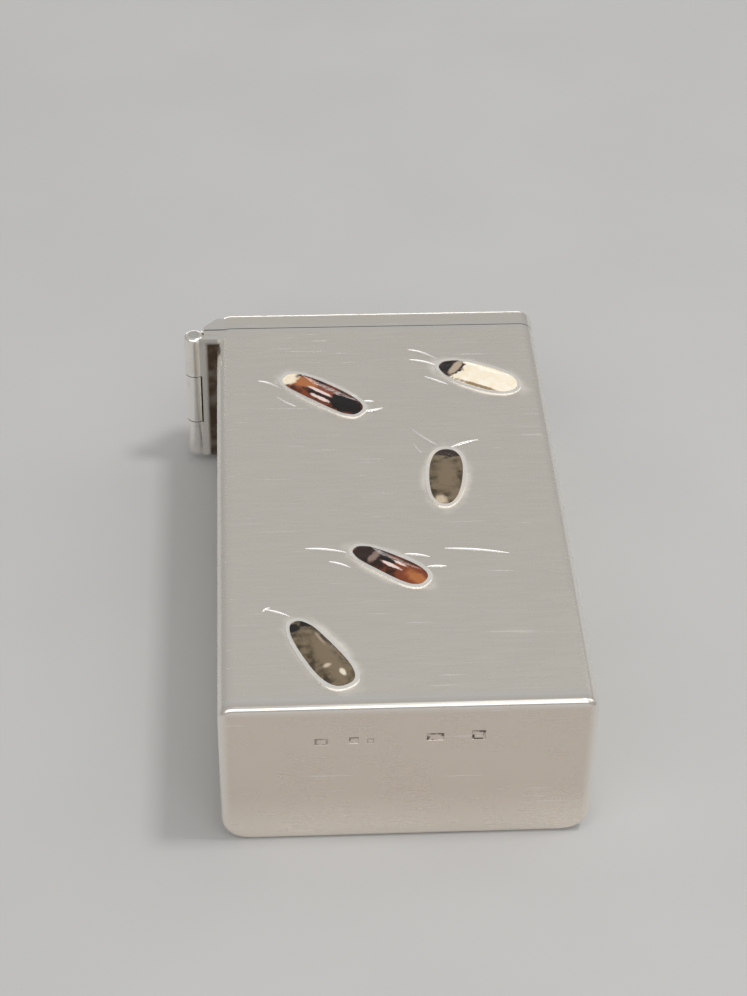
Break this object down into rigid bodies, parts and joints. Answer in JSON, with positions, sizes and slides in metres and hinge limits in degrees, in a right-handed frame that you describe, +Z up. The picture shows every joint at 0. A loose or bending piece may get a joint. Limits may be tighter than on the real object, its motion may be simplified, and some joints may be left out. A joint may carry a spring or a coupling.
{
  "type": "hinged match case",
  "caption": "Flat rectangular silver pocket match case: rounded tubular body with a closed base, a hinged cap over the mouth, and small hardstones set in its broad face.",
  "frame": {"origin": "middle of the flat back that the case lies on, half way between the outer face of its base and the joint with its cap", "axes": "+X across the width, away from the hinge; +Y along the length, from the base to the cap; +Z up, out of the inlaid face"},
  "size_m": [0.0375, 0.0617, 0.017],
  "materials": {
    "silver": "satin-polished silver with fine hairline scratches",
    "silver_base": "satin-polished silver, slightly warmer, with small blank punched marks",
    "silver_cap": "polished silver worn smooth at the edges",
    "silver_inside": "dull unpolished silver, lightly tarnished",
    "silver_collet": "bright burnished silver",
    "silver_hinge": "polished silver with dark tarnish in the corners",
    "hinge_pin": "drawn wire, dull",
    "striker": "filed ribs, dull",
    "stone_russet": "polished banded hardstone, russet with a black head",
    "stone_cream": "polished hardstone, cream with a dark brown head",
    "stone_smoky": "polished smoky translucent hardstone",
    "stone_rust_black": "polished banded hardstone, black to rust",
    "stone_olive": "polished olive-grey translucent hardstone"
  },
  "bodies": {
    "case": {"case_wall": "silver", "base_plate": "silver_base", "mouth_collar": "silver_inside", "inlay_backing": "silver_inside", "collet_upper_left": "silver_collet", "collet_upper_right": "silver_collet", "collet_middle": "silver_collet", "collet_lower_middle": "silver_collet", "collet_lower_left": "silver_collet", "stone_upper_left": "stone_russet", "stone_upper_right": "stone_cream", "stone_middle": "stone_smoky", "stone_lower_middle": "stone_rust_black", "stone_lower_left": "stone_olive", "case_bearer": "silver_hinge", "lower_knuckle": "silver_hinge", "upper_knuckle": "silver_hinge", "hinge_pin": "hinge_pin"},
    "cap": {"cap_shell": "silver_cap", "cap_bearer": "silver_hinge", "cap_knuckle": "silver_hinge", "striker_plate": "striker"}
  },
  "joints": [
    {"name": "cap_hinge", "type": "hinge", "parent": "case", "child": "cap", "pos_m": [-0.01945, 0.02845, 0.0083], "axis": [0, 0, 1], "range_deg": [0, 170]}
  ]
}
